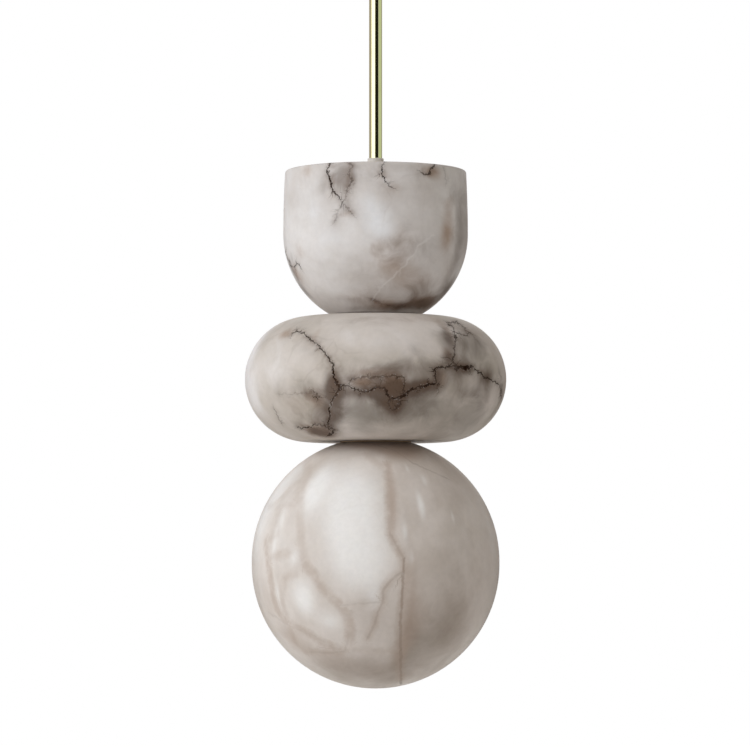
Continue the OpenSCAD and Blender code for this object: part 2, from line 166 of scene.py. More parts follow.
def steps_for(length):
    return max(SHORT_STEPS, int(length / STEP))


def cup_outline():
    low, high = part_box("cup")
    r = high[0]
    foot, rim = low[2], high[2]
    rise = foot + math.sqrt(r ** 2 - CUP_FOOT_R ** 2)
    barrel_h = rim - rise
    barrel_r = (barrel_h ** 2 + CUP_DRAW ** 2) / (2 * CUP_DRAW)
    foot_angle = -math.degrees(math.acos(CUP_FOOT_R / r))
    top_angle = math.degrees(math.asin((barrel_h - RIM_ROUND) / barrel_r))
    rim_r = r - CUP_DRAW
    return join(
        straight((HOLE_R, foot), (CUP_FOOT_R, foot), FOOT_STEPS),
        arc((0, rise), r, foot_angle, 0, steps_for(r * math.radians(-foot_angle))),
        arc((r - barrel_r, rise), barrel_r, 0, top_angle, steps_for(barrel_h)),
        arc((rim_r - RIM_ROUND, rim - RIM_ROUND), RIM_ROUND, RIM_ROUND_START, 90, RIM_ARC_STEPS),
        straight((rim_r - RIM_ROUND, rim), (LID_LEDGE_R, rim), RIM_STEPS),
        straight((LID_LEDGE_R, rim), (LID_LEDGE_R, rim - LID_DEPTH), SHORT_STEPS),
    )


def pebble_outline():
    low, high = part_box("pebble")
    half = (high[2] - low[2]) / 2
    inner = high[0] - half
    mid = (high[2] + low[2]) / 2
    raised = low[2] + JOINT_GAP
    return join(
        straight((NECK_R, raised), (inner - STEP, raised), steps_for(inner - NECK_R)),
        straight((inner - STEP, raised), (inner, low[2]), 2),
        arc((inner, mid), half, -90, 90, steps_for(math.pi * half)),
        straight((inner, high[2]), (HOLE_R, high[2]), steps_for(inner)),
    )


def globe_outline():
    low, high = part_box("globe")
    r = high[0]
    flat = high[2]
    upper = flat - math.sqrt(r ** 2 - GLOBE_FLAT_R ** 2)
    lower = upper - GLOBE_BAND
    top_angle = math.degrees(math.acos(GLOBE_FLAT_R / r))
    return join(
        arc((0, lower), r, -90, 0, steps_for(r * math.pi / 2)),
        straight((r, lower), (r, upper), BAND_STEPS),
        arc((0, upper), r, 0, top_angle, steps_for(r * math.radians(top_angle))),
        straight((GLOBE_FLAT_R, flat), (GLOBE_FLAT_R, flat - JOINT_GAP), 2),
        straight((GLOBE_FLAT_R, flat - JOINT_GAP), (NECK_R + JOINT_GAP, flat - JOINT_GAP), SHORT_STEPS),
    )


def lid_outline():
    low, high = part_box("lid")
    r, top = high[0], high[2]
    return join(
        straight((r, low[2]), (r, top - LID_EDGE), SHORT_STEPS),
        arc((r - LID_EDGE, top - LID_EDGE), LID_EDGE, 0, 90, SHORT_STEPS),
        straight((r - LID_EDGE, top), (HOLE_R, top), steps_for(r)),
    )


def revolve(name, outline):
    """A fine mesh of quads from an outline turned round the rod's axis."""
    outline = np.array(outline)
    count = int(2 * math.pi * outline[:, 0].max() / STEP)
    angles = np.linspace(0, 2 * math.pi, count, endpoint=False)
    closed_low = outline[0, 0] < ON_AXIS
    ring = outline[1:] if closed_low else outline
    x = ring[:, 0:1] * np.cos(angles)
    y = ring[:, 0:1] * np.sin(angles)
    z = np.repeat(ring[:, 1:2], count, axis=1)
    points = np.stack([x, y, z], axis=-1).reshape(-1, 3)
    rows = len(ring)
    faces = []
    for i in range(rows - 1):
        for j in range(count):
            k = (j + 1) % count
            faces.append((i * count + j, i * count + k, (i + 1) * count + k, (i + 1) * count + j))
    if closed_low:
        points = np.vstack([points, [[0, 0, outline[0, 1]]]])
        pole = len(points) - 1
        for j in range(count):
            faces.append((pole, (j + 1) % count, j))
    mesh = bpy.data.meshes.new(name)
    mesh.from_pydata(points.tolist(), [], faces)
    mesh.update()
    for polygon in mesh.polygons:
        polygon.use_smooth = True
    return put(name, mesh), points


# Veins, as the photograph shows them. Each has points in photograph pixels, a strength from 0 to 1,
# half its width in millimetres and the strength of the brown haze round it.
CUP_VEINS = [
    ([(330, 163), (327.4, 172.2), (329.6, 179.1), (331.6, 186.7), (335, 192.9), (338.8, 197.5),
      (342.4, 202.8), (340.8, 207.4)], 1.0, 0.55, 0.55),
    ([(340.8, 207.4), (338.1, 211), (337.3, 214.3), (334.2, 221.9)], 0.35, 0.35, 0.3),
    ([(349.5, 163.2), (351.8, 166.8), (348.8, 171.4), (350.3, 176.8), (353.1, 180.6), (350.3, 182.9),
      (347.2, 189.8), (344.2, 199), (342.7, 202.8), (347, 208), (352.5, 213.5)], 0.5, 0.4, 0.5),
    ([(384.5, 161.5), (382.6, 166.8), (381.8, 173), (383.7, 178.3), (386.3, 182.4)], 0.95, 0.45, 0.5),
    ([(386.3, 182.4), (389.5, 185.5), (392.4, 187.5)], 0.6, 0.5, 0.35),
    ([(434.5, 164.8), (432, 168.4), (429.9, 169.9), (429.1, 174.5), (422.3, 173)], 0.9, 0.75, 0.8),
    ([(443.7, 168.4), (446.7, 177.6), (446, 183.7)], 0.25, 0.45, 0.35),
    ([(284.5, 249.5), (288.3, 260.2), (290.6, 265.6), (294.4, 267.9), (296, 263.3), (299, 264),
      (300.6, 267.9)], 0.8, 0.45, 0.3),
    ([(373, 299.5), (384, 304), (395, 308), (405, 306)], 0.25, 0.8, 0.6),
]
PEBBLE_VEINS = [
    ([(291.7, 334.4), (296.8, 330.7), (302, 332.7), (307.2, 336.2), (313.2, 341.3), (319.2, 346.2),
      (323.5, 352.5), (328.7, 359.4), (333, 364.6), (333, 372.3), (335.6, 380.1), (339, 384.4),
      (338.5, 389.5), (334.7, 395.6), (331.3, 401.6), (329.5, 410.2), (329.2, 418.8),
      (327.8, 424.8)], 0.95, 0.5, 0.6),
    ([(297.7, 427.4), (303.7, 428.3), (309.7, 427.4), (314, 424.3), (321.8, 424.9), (327.8, 426.6),
      (333.9, 429.2), (333, 433.5), (327.8, 436)], 0.9, 0.5, 0.7),
    ([(339, 384.4), (346.8, 385.2), (353.7, 389.5), (362.3, 392.1), (370.9, 390.4), (377.8, 387),
      (384.7, 388.7), (388.1, 394.7), (393.3, 398.2), (400.1, 398.2), (405.3, 393.9), (412.2, 389.5),
      (420.8, 387), (427.7, 384.4), (436.3, 384.4)], 0.95, 0.5, 0.6),
    ([(345, 386.1), (351.9, 380.1), (362.3, 376.6), (370.9, 377.5), (381.2, 376.6), (391.5, 375.8),
      (403.6, 376.6), (404.5, 382.7), (403.6, 393)], 0.6, 0.4, 0.6),
    ([(381.2, 377.5), (380.3, 384.4), (377.8, 387)], 0.5, 0.4, 0.3),
    ([(389.8, 396.4), (387.2, 403.3), (392.4, 410.2), (398.4, 405), (399.3, 399)], 0.55, 0.4, 0.7),
    ([(436.3, 384.4), (434.6, 375.8), (434.6, 368), (443.2, 368), (453.5, 366.3), (462.1, 368),
      (469, 368), (473.3, 366.3), (478.5, 372.3), (484.5, 376.6), (491.4, 380.1), (497.5, 382.7),
      (501.2, 389.5), (500.9, 398.2)], 0.9, 0.5, 0.55),
    ([(454.4, 366.3), (452.7, 359.4), (454.4, 355.1), (453.5, 348.2), (455.3, 341.3), (455.3, 334.4),
      (452.7, 327.6), (446.6, 322.4)], 0.8, 0.45, 0.5),
    ([(449.2, 322.5), (457, 322), (462.1, 325.5), (465.6, 330.1), (469.9, 333.6), (467.3, 336.2),
      (460.4, 334.4), (456.1, 332.7)], 0.75, 0.45, 0.4),
    ([(443.2, 357.5), (448.5, 358), (453.5, 362)], 0.5, 0.4, 0.4),
    ([(436.3, 384.4), (438, 393)], 0.45, 0.35, 0.3),
    ([(273.6, 408.5), (277, 414.5), (281.3, 423.1)], 0.7, 0.4, 0.25),
    ([(279.6, 393.9), (291.7, 394.4), (302, 393), (314, 393.9), (320.9, 396.4)], 0.22, 0.4, 0.35),
    ([(313, 390.5), (318, 393), (315, 396.5), (321, 397)], 0.8, 0.35, 0.4),
    ([(499, 372), (500.5, 380), (502, 392)], 0.4, 0.35, 0.3),
    ([(398, 398), (404, 396), (408, 391), (416, 389)], 1.0, 0.9, 0.8),
    ([(455, 367.5), (462, 368.5), (468, 367)], 1.0, 1.1, 0.6),
    ([(431, 384), (438, 384.5)], 1.0, 0.8, 0.6),
    ([(336, 382), (340, 388), (336, 395)], 0.9, 0.9, 0.7),
    ([(398, 398), (400, 404), (396, 409)], 0.6, 0.8, 0.8),
]
# Pale hairlines, in the same form but without haze
CUP_HAIRLINES = [
    ([(433.7, 235), (428.4, 238.8), (420.7, 244.1), (416.1, 251), (409.2, 258.7), (402.4, 267.9),
      (391.6, 278.6), (382.5, 286.2), (376.3, 293.9), (372.5, 300)], 0.4, 0.3),
]
# Two lines of the globe, each both a soft band and a hairline
FORK = [(400.1, 572.9), (391.5, 579.8), (382.9, 590.1), (382.9, 602.2), (377.8, 612.5), (374.3, 624.6),
        (367.4, 638.4)]
BRIDGE = [(341.6, 605.7), (355, 604), (368, 603), (382.9, 602.2)]
# Soft bands of the globe: points, strength and half width in millimetres
GLOBE_BANDS = [
    ([(265.8, 540.2), (266.7, 550.5), (268.4, 564.3), (270.1, 578.1), (272.7, 595.3), (277, 609.1),
      (284.8, 619.4), (295.1, 626.3), (308.9, 633.2), (320.9, 641.8), (336.4, 647.8), (345, 648.7)],
     0.8, 1.8),
    ([(303.7, 562.6), (314, 574.7), (322.7, 588.4), (331.3, 597), (341.6, 605.7), (348.5, 617.7),
      (350.2, 631.5), (349.3, 643.5)], 0.75, 2.0),
    (FORK, 0.6, 0.9),
    ([(387.2, 464.4), (389, 486.8), (389.8, 507.5), (389.8, 533.3), (395, 545.4), (402.7, 557.4),
      (404.5, 576.4), (402.7, 602.2), (400.1, 619.4), (400.1, 645.3), (401, 679.7)], 0.85, 1.2),
    ([(306.3, 461), (307.2, 474.8), (300.3, 490.3), (299.4, 507.5), (300.3, 526.4), (300.3, 542),
      (303.7, 562.6)], 0.4, 1.8),
    ([(305.4, 476.5), (291.7, 486.8), (276.2, 504), (279.6, 516.1), (277, 533.3), (268, 541)], 0.4, 1.3),
    ([(269.3, 505.8), (298.5, 505.8)], 0.3, 0.7),
    ([(271, 557.4), (283, 554), (296.8, 550.5), (300.3, 560.9), (295.1, 572.9), (284.8, 578.1),
      (281.3, 595.3), (284, 610), (290, 625)], 0.5, 1.3),
    ([(289.9, 624.6), (295.1, 641.8), (305.4, 651.3), (320.9, 652.1), (339.9, 653)], 0.6, 1.4),
    ([(367.4, 454.1), (376, 462.7), (386.4, 467.9)], 0.4, 1.2),
    (BRIDGE, 0.25, 0.7),
    ([(400, 650), (385, 652), (365, 650), (349, 648)], 0.35, 1.6),
]
GLOBE_HAIRLINES = [
    ([(372.6, 443.8), (395, 450.7), (412.2, 462.7), (446.6, 478.2)], 0.35, 0.5),
    ([(404, 558), (403, 580), (402, 602), (400.5, 619), (400.5, 645), (401, 684)], 1.0, 0.75),
    (FORK, 0.4, 0.45),
    (BRIDGE, 0.2, 0.4),
    ([(390, 533), (396, 545), (403, 557)], 0.4, 0.4),
    ([(348, 640), (345, 651), (330, 653), (310, 652)], 0.25, 0.5),
    ([(268, 612), (290, 626), (310, 634), (330, 646)], 0.15, 0.5),
]

# Soft patches: middle in photograph pixels, half width and half height in pixels, strength
# The tan and dark patches round row 305, along the cup's foot, are painted shade where the cup meets the
# pebble
CUP_PATCHES = {
    "pale": [(306, 215, 30, 24, 0.25), (318, 212, 26, 22, 0.2), (376, 219, 18, 18, 0.75),
        (385, 231, 11, 9, 0.4), (300, 190, 18, 22, 0.25), (340, 240, 40, 10, 0.25),
        (365, 200, 12, 12, 0.3)],
    "tan": [(306, 171, 10, 10, 0.45), (299, 252, 14, 12, 0.4), (376, 262, 26, 26, 0.28),
        (384, 246, 16, 8, 0.2), (432, 172, 13, 8, 0.9), (449, 221, 12, 26, 0.6), (445, 236, 10, 16, 0.4),
        (347, 214, 14, 5, 0.4), (385, 305, 14, 6, 0.8), (425, 303, 22, 7, 1.1), (400, 268, 18, 18, 0.25),
        (300, 276, 14, 14, 0.35), (296, 272, 8, 8, 0.4), (352, 298, 26, 10, 0.25),
        (395, 188, 12, 8, 0.35), (383, 176, 9, 9, 0.45), (406, 242, 18, 20, 0.3),
        (422, 283, 30, 14, 0.45)],
    "grey": [(340, 178, 9, 14, 0.9), (362, 176, 16, 12, 0.3), (350, 177, 6, 12, 0.8),
        (322, 186, 10, 12, 0.3), (384, 172, 10, 14, 0.3), (406, 228, 12, 10, 0.3),
        (455, 262, 10, 30, 0.5), (459, 214, 12, 42, 0.5), (465.5, 216, 16, 46, 0.55),
        (450, 190, 9, 18, 0.3), (375, 258, 14, 6, 0.2), (407, 200, 4, 8, 0.25), (345, 205, 10, 12, 0.5),
        (430, 285, 34, 16, 0.35)],
    "dark": [(333, 176, 5, 14, 0.45), (349, 180, 4, 10, 0.4), (341, 204, 5, 5, 0.35),
        (338, 214, 5, 8, 0.25), (432, 171, 8, 5, 0.5), (383, 174, 4, 8, 0.3), (292, 258, 5, 8, 0.35),
        (293, 270, 10, 14, 0.45), (302, 290, 14, 12, 0.3), (446, 290, 16, 14, 0.8),
        (424, 304, 22, 7, 0.8), (395, 308, 18, 5, 0.6), (360, 309, 22, 3, 0.35), (453, 222, 4, 20, 0.25),
        (400, 252, 20, 16, 0.2), (350, 300, 26, 6, 0.3), (395, 245, 30, 16, 0.25),
        (425, 290, 30, 12, 0.4), (435, 245, 20, 20, 0.2)],
}
# The pale patch at the far left, (247, 362), is painted light on that edge, and the grey patches at the
# lower right, round rows 400 to 420, are painted shade
PEBBLE_PATCHES = {
    "pale": [(276, 362, 40, 40, 0.4), (247, 362, 20, 44, 1.1), (254, 395, 14, 22, 0.5),
        (352, 334, 36, 12, 0.25), (400, 345, 40, 16, 0.4), (352, 408, 20, 18, 0.3)],
    "tan": [(287, 334, 12, 6, 0.7), (316, 335, 5, 10, 0.4), (318, 431, 16, 6, 1.1),
        (362, 383, 14, 5, 1.0), (395, 385, 11, 9, 1.3), (392, 404, 9, 8, 0.8), (441, 376, 7, 8, 0.7),
        (372, 372, 24, 5, 0.6), (447, 355, 8, 8, 0.7), (449, 333, 6, 12, 0.6), (390, 418, 10, 16, 0.35),
        (297, 405, 20, 18, 0.4), (318, 398, 12, 10, 0.6), (336, 398, 7, 18, 0.5), (467, 331, 9, 5, 0.5),
        (430, 385, 14, 5, 0.5), (463, 369, 8, 5, 0.8), (416, 388, 14, 6, 0.5), (395, 320, 60, 8, 0.3)],
    "grey": [(470, 420, 34, 24, 0.45), (440, 415, 60, 26, 0.4), (475, 350, 24, 18, 0.6),
        (500, 400, 8, 26, 0.5), (375, 408, 34, 20, 0.4), (420, 400, 28, 14, 0.5), (462, 340, 12, 14, 0.4),
        (300, 412, 22, 20, 0.35), (432, 372, 16, 10, 0.4), (375, 321, 60, 8, 0.35),
        (380, 362, 50, 9, 0.4), (305, 388, 20, 14, 0.4), (362, 416, 26, 15, 0.5),
        (305, 350, 12, 30, 0.2)],
    "dark": [(364, 384, 13, 6, 0.2), (394, 386, 10, 10, 0.55), (318, 432, 14, 6, 0.9),
        (392, 406, 9, 10, 0.7), (400, 393, 20, 7, 0.6), (425, 386, 16, 6, 0.55), (437, 376, 5, 10, 0.5),
        (447, 358, 7, 7, 0.6), (448, 336, 6, 12, 0.5), (462, 330, 12, 6, 0.3), (465, 370, 12, 5, 0.5),
        (485, 378, 14, 6, 0.4), (335, 400, 8, 18, 0.45), (333, 384, 8, 9, 0.45), (315, 395, 10, 6, 0.4),
        (329, 425, 8, 8, 0.4), (352, 379, 8, 5, 0.45), (377, 378, 8, 6, 0.45), (318, 346, 5, 6, 0.3),
        (384, 399, 18, 9, 0.5), (420, 412, 30, 14, 0.3), (372, 392, 30, 6, 0.4), (298, 332, 9, 4, 0.3),
        (470, 392, 24, 10, 0.25), (334, 396, 16, 26, 0.55), (360, 391, 26, 10, 0.4),
        (418, 389, 24, 11, 0.45), (452, 372, 20, 12, 0.45), (470, 346, 24, 20, 0.35),
        (490, 376, 13, 16, 0.45), (484, 403, 14, 12, 0.4), (415, 380, 20, 9, 0.3),
        (415, 352, 20, 14, 0.35), (440, 335, 12, 10, 0.25), (478, 340, 14, 14, 0.35),
        (308, 413, 20, 20, 0.25), (395, 366, 40, 7, 0.2), (450, 345, 14, 16, 0.3), (385, 370, 44, 6, 0.4),
        (468, 364, 24, 14, 0.3), (475, 391, 26, 13, 0.3), (330, 415, 13, 16, 0.35),
        (392, 416, 14, 15, 0.3)],
}
# Among the stains: the pale and tan patches at the top, round (375, 445) and (402, 453), are painted light
# and painted shade of the joint under the pebble; the pale one on the left edge, (262, 520), is painted
# light; the dark ones of the lower right and the bottom are partly painted shade, partly clouding of the
# stone
GLOBE_PATCHES = {
    "pale": [(375, 445, 50, 7, 0.7), (262, 520, 24, 60, 0.7), (284, 545, 22, 40, 0.35),
        (290, 480, 20, 30, 0.4), (472, 480, 18, 24, 0.45), (490, 530, 14, 50, 0.4),
        (350, 500, 34, 42, 1.0), (360, 560, 34, 38, 0.9), (316, 487, 12, 26, 0.8),
        (304, 599, 15, 19, 0.9), (331, 622, 13, 10, 0.6), (281, 520, 6, 16, 0.4), (296, 556, 7, 9, 0.6),
        (421, 505, 4, 15, 0.8), (405, 532, 3, 9, 0.5), (412, 558, 2.5, 7, 0.5), (407, 468, 2.5, 6, 0.5),
        (452.7, 517, 2.5, 8, 0.6), (375, 600, 8, 14, 0.5), (274, 545, 4, 22, 0.4), (278, 595, 4, 14, 0.5),
        (385, 455, 6, 6, 0.4), (424, 480, 4, 8, 0.5)],
    "tan": [(375, 444, 50, 7, 1.0), (402, 453, 26, 9, 0.9), (393, 484, 5, 28, 0.4),
        (396, 522, 7, 26, 0.3), (411, 572, 8, 40, 0.45), (412, 640, 10, 36, 0.5),
        (300, 555, 14, 20, 0.35), (395, 655, 8, 20, 0.4), (420, 610, 24, 30, 0.3),
        (330, 660, 34, 14, 0.5), (391, 502, 4, 36, 0.4), (292, 638, 22, 14, 0.6),
        (268, 598, 12, 24, 0.45), (405, 640, 5, 34, 0.5)],
    "grey": [(455, 560, 40, 90, 0.3), (436, 642, 44, 38, 0.45), (405, 540, 8, 60, 0.2),
        (410, 650, 10, 30, 0.4)],
    "dark": [(372, 612, 34, 34, 0.35), (290, 628, 40, 26, 0.2), (340, 662, 44, 14, 0.3),
        (446, 612, 60, 60, 0.2), (380, 674, 60, 14, 0.4), (450, 626, 46, 48, 0.32)],
}
# Veins are looked for within VEIN_REACH of a vertex, in millimetres, and FAR stands for none there
VEIN_REACH = 14.0
FAR = 30.0
NO_LENGTH = 1e-12
VAST = 1e9
TINY = 1e-9
# A glow ends at this many times its width
GLOW_CUT = 3
# How far a pixel that just misses a stone is moved inwards, and the step of a jagged line, in pixels
NUDGES_PX = (0, 1.5, 3, 5, 8)
JAG_PX = 1.6


def on_stone(tree, x, y):
    """The point of a stone that the photograph shows at a pixel, nudged inwards where it just misses."""
    for pull in NUDGES_PX:
        px = x + (AXIS_X_PX - x) / max(abs(AXIS_X_PX - x), 1) * pull
        hit = tree.ray_cast(CAMERA_PLACE, photo_ray(px, y))[0]
        if hit is not None:
            return hit
    return None


def jagged(points, rng, spread):
    """Points along a route, close together and slightly off it, as a crack runs."""
    route = []
    for (x0, y0), (x1, y1) in zip(points, points[1:]):
        count = max(1, round(math.hypot(x1 - x0, y1 - y0) / JAG_PX))
        for i in range(count):
            t = i / count
            route.append((x0 + (x1 - x0) * t, y0 + (y1 - y0) * t))
    route.append(points[-1])
    inner = [(x + rng.normal(0, spread), y + rng.normal(0, spread)) for x, y in route[1:-1]]
    return [route[0], *inner, route[-1]]


# The far side's own markings keep this far from the front, in degrees either side of it. Veins and
# patches start a little further on
FRONT_EDGE = 84.0
VEIN_MARGIN = 8
PATCH_MARGIN = 6
# Cracks of the far side: step, turn at each step, lengths in millimetres and ranges of their figures
STRIDE = 2.2 * MM
TURN = 0.2
MAIN_LENGTH = (50, 130)
BRANCH_LENGTH = (15, 50)
END_MARGIN = 0.1
FAR_STRENGTH = (0.35, 1.0)
FAR_HAZE = (0.5, 0.8)
BRANCH_STRENGTH = 0.7
BRANCH_WIDTH = 0.8
LEAST_POINTS = 3
# Strewn patches: half sizes in millimetres and strengths. MOST_STAIN caps what overlapping ones add up to
PATCH_SIZE = (6, 28)
PATCH_STRENGTH = (0.2, 0.7)
PATCH_DEPTH = 2.0
MOST_STAIN = 1.5


def wander(tree, rng, start, heading, length):
    """A crack that runs on from a place, turning a little at each step, and keeps off the front."""
    place, normal = tree.find_nearest(start)[:2]
    route = [tuple(place)]
    along = Vector(heading)
    for _ in range(int(length / STRIDE)):
        sideways = normal.cross(along).normalized()
        along = (along.normalized() + sideways * rng.normal(0, TURN)).normalized()
        along = (along - normal * along.dot(normal)).normalized()
        place, normal = tree.find_nearest(place + along * STRIDE)[:2]
        if abs(math.degrees(math.atan2(place.x, -place.y))) < FRONT_EDGE:
            break
        route.append(tuple(place))
    return np.array(route)


def far_side(tree, rng, low, high, radius, halves, count):
    """Veins of the sides and the back, which the photograph doesn't show, with branches."""
    found = []
    first = FRONT_EDGE + VEIN_MARGIN
    margin = END_MARGIN * (high - low)
    for i in range(count):
        azimuth = math.radians(first + (360 - 2 * first) * (i + rng.uniform(0.1, 0.9)) / count)
        height = rng.uniform(low + margin, high - margin)
        start = Vector(round_axis(radius, azimuth, height))
        angle = rng.uniform(0, 2 * math.pi)
        level = math.cos(angle)
        heading = (math.cos(azimuth) * level, math.sin(azimuth) * level, math.sin(angle))
        strength = rng.uniform(*FAR_STRENGTH)
        half = rng.uniform(*halves)
        haze = strength * rng.uniform(*FAR_HAZE)
        main = wander(tree, rng, start, heading, rng.uniform(*MAIN_LENGTH) * MM)
        found.append((main, [strength, half, haze]))
        for _ in range(rng.integers(1, 3)):
            at = main[rng.integers(len(main) // 3, len(main))]
            turn = Vector(heading) + Vector(rng.normal(0, 1, 3))
            branch = wander(tree, rng, Vector(at), turn, rng.uniform(*BRANCH_LENGTH) * MM)
            found.append((branch, [strength * BRANCH_STRENGTH, half * BRANCH_WIDTH, haze]))
    return [(line, figures) for line, figures in found if len(line) > LEAST_POINTS]


def routes_on(tree, veins, rng, spread):
    """Every vein of the photograph as points on the stone in metres, with its figures."""
    found = []
    for points, *figures in veins:
        hits = [on_stone(tree, x, y) for x, y in jagged(points, rng, spread)]
        line = np.array([tuple(h) for h in hits if h is not None])
        if len(line) > 1:
            found.append((line, figures))
    return found


def within(points, line, reach):
    """The numbers of the points in a box round a line."""
    low, high = line.min(axis=0) - reach, line.max(axis=0) + reach
    return np.where(np.all((points > low) & (points < high), axis=1))[0]


def nearest(points, normals, routes):
    """For every vertex: signed and plain distance in mm to the nearest vein, and that vein's figures."""
    far = np.full(len(points), FAR)
    side = np.full(len(points), FAR)
    kept = np.zeros((len(points), 3))
    for line, figures in routes:
        close = within(points, line, VEIN_REACH * MM)
        p, n = points[close], normals[close]
        for a, b in zip(line, line[1:]):
            along = b - a
            length = np.dot(along, along)
            if length < NO_LENGTH:
                continue
            offset = p - a
            t = np.clip(offset @ along / length, 0, 1)
            gap = offset - t[:, None] * along
            d = np.linalg.norm(gap, axis=1) / MM
            better = d < far[close]
            if not better.any():
                continue
            which = close[better]
            far[which] = d[better]
            left = np.einsum("ij,ij->i", np.cross(along, n[better]), offset[better])
            side[which] = d[better] * np.sign(left)
            kept[which, :len(figures)] = figures
    return side, far, kept


def haze_round(points, routes, width):
    """A soft glow round the veins, as strong as the third of their figures says."""
    glow = np.zeros(len(points))
    for line, figures in routes:
        close = within(points, line, GLOW_CUT * width * MM)
        best = np.full(len(close), VAST)
        for spot in line[::2]:
            best = np.minimum(best, ((points[close] - spot) ** 2).sum(axis=1))
        glow[close] = np.maximum(glow[close], figures[2] * np.exp(-best / (width * MM) ** 2))
    return glow


def patch(points, place, half_wide, half_high, strength):
    """One soft round patch on the stone round a place, all in metres."""
    out = np.array([place[0], place[1], 0.0])
    out /= max(np.linalg.norm(out), TINY)
    across = np.array([-out[1], out[0], 0.0])
    offset = points - np.array(place)
    u = offset @ across / half_wide
    v = offset[:, 2] / half_high
    depth = offset @ out / (PATCH_DEPTH * max(half_wide, half_high))
    return strength * np.exp(-(u ** 2 + v ** 2 + depth ** 2))


def patches_on(tree, points, patches, rng, low, high, radius, count):
    """Soft patches placed by the photograph, and others strewn over the far side."""
    total = np.zeros(len(points))
    first = FRONT_EDGE + PATCH_MARGIN
    for x, y, half_x, half_y, strength in patches:
        hit = on_stone(tree, x, y)
        if hit is not None:
            total += patch(points, hit, half_x * PX, half_y * PX, strength)
    for _ in range(count):
        azimuth = math.radians(rng.uniform(first, 360 - first))
        spot = Vector(round_axis(radius, azimuth, rng.uniform(low, high)))
        place = tree.find_nearest(spot)[0]
        wide, tall = rng.uniform(*PATCH_SIZE, 2) * MM
        total += patch(points, place, wide, tall, rng.uniform(*PATCH_STRENGTH))
    return np.clip(total, 0, MOST_STAIN)


def give(mesh, name, values):
    attribute = mesh.attributes.new(name, "FLOAT", "POINT")
    attribute.data.foreach_set("value", np.asarray(values, dtype=np.float32))


class Nodes:
    """Adds shader nodes to a tree and joins them."""

    def __init__(self, tree):
        self.tree = tree

    def feed(self, socket, value):
        """Links a socket to another one, or sets its own value."""
        if isinstance(value, bpy.types.NodeSocket):
            self.tree.links.new(value, socket)
        else:
            socket.default_value = value

    def add(self, kind, inputs=None, **settings):
        node = self.tree.nodes.new(kind)
        for key, value in settings.items():
            setattr(node, key, value)
        for key, value in (inputs or {}).items():
            self.feed(node.inputs[key], value)
        return node

    def attribute(self, name):
        return self.add("ShaderNodeAttribute", attribute_name=name).outputs["Fac"]

    def math(self, operation, a, b=0.0, clamp=False):
        return self.add("ShaderNodeMath", {0: a, 1: b}, operation=operation, use_clamp=clamp).outputs[0]

    def times(self, a, b):
        return self.math("MULTIPLY", a, b)

    def plus(self, a, b):
        return self.math("ADD", a, b)

    def mix(self, share, a, b, blend="MIX"):
        """From colour a to colour b, which are the node's inputs 6 and 7. Its output 2 is the result."""
        inputs = {0: share, 6: a, 7: b}
        return self.add("ShaderNodeMix", inputs, data_type="RGBA", blend_type=blend).outputs[2]


class Shade(Nodes):
    """One procedural material."""

    def __init__(self, name):
        self.material = bpy.data.materials.new(name + "_look")
        self.material.use_nodes = True
        super().__init__(self.material.node_tree)
        self.shader = self.tree.nodes["Principled BSDF"]
        self.place = self.add("ShaderNodeTexCoord").outputs["Object"]

    def noise(self, scale, detail=4.0, rough=0.5, warp=0.0, place=None):
        return self.add("ShaderNodeTexNoise", {
            "Vector": place or self.place, "Scale": scale, "Detail": detail, "Roughness": rough,
            "Distortion": warp,
        }).outputs[0]

    def moved(self, move=(0, 0, 0), stretch=(1, 1, 1)):
        inputs = {"Vector": self.place, "Location": move, "Scale": stretch}
        return self.add("ShaderNodeMapping", inputs).outputs[0]

    def marks(self, stretch, detail=4):
        """Fine tool marks."""
        return self.noise(1.0, detail, 0.6, 0.0, self.moved(stretch=stretch))

    def smooth(self, value, start, end, low=0.0, high=1.0):
        """A soft step: low up to start, high from end on."""
        inputs = dict(enumerate((value, start, end, low, high)))
        return self.add("ShaderNodeMapRange", inputs, interpolation_type="SMOOTHSTEP").outputs[0]

    def surface(self, inputs):
        for key, value in inputs.items():
            self.feed(self.shader.inputs[key], value)

    def bump(self, height, strength, distance):
        inputs = {"Height": height, "Strength": strength, "Distance": distance}
        self.surface({"Normal": self.add("ShaderNodeBump", inputs).outputs[0]})

    def finish(self, colour, roughness, metallic=0.0, specular=0.5):
        self.surface({"Base Color": colour, "Roughness": roughness, "Metallic": metallic,
                      "Specular IOR Level": specular})
        return self.material


def srgb(red, green, blue):
    """A colour as it is seen, 0 to 255, in the linear form that shaders take."""
    def linear(value):
        v = value / 255
        return v / 12.92 if v <= 0.04045 else ((v + 0.055) / 1.055) ** 2.4
    return (linear(red), linear(green), linear(blue), 1.0)


# Scales of the stones' noise, from the widest clouds to the finest crumbs
CLOUD_SCALE = 13
STREAK_SCALE = 16
DRIFT_SCALE = 22
MOTTLE_SCALE = 46
UNEVEN_SCALE = 70
GRAIN_SCALE = 260
WOBBLE_SCALE = 420
GLINT_SCALE = 640
CRUMB_SCALE = 880
# How far the cells of the fine hairs are bent, and how light spreads in the stone
DRIFT = 0.045
GLOW_REACH = 0.004
GLOW_SPREAD = (1.0, 0.8, 0.6)
GLOW_SHARE = 0.12


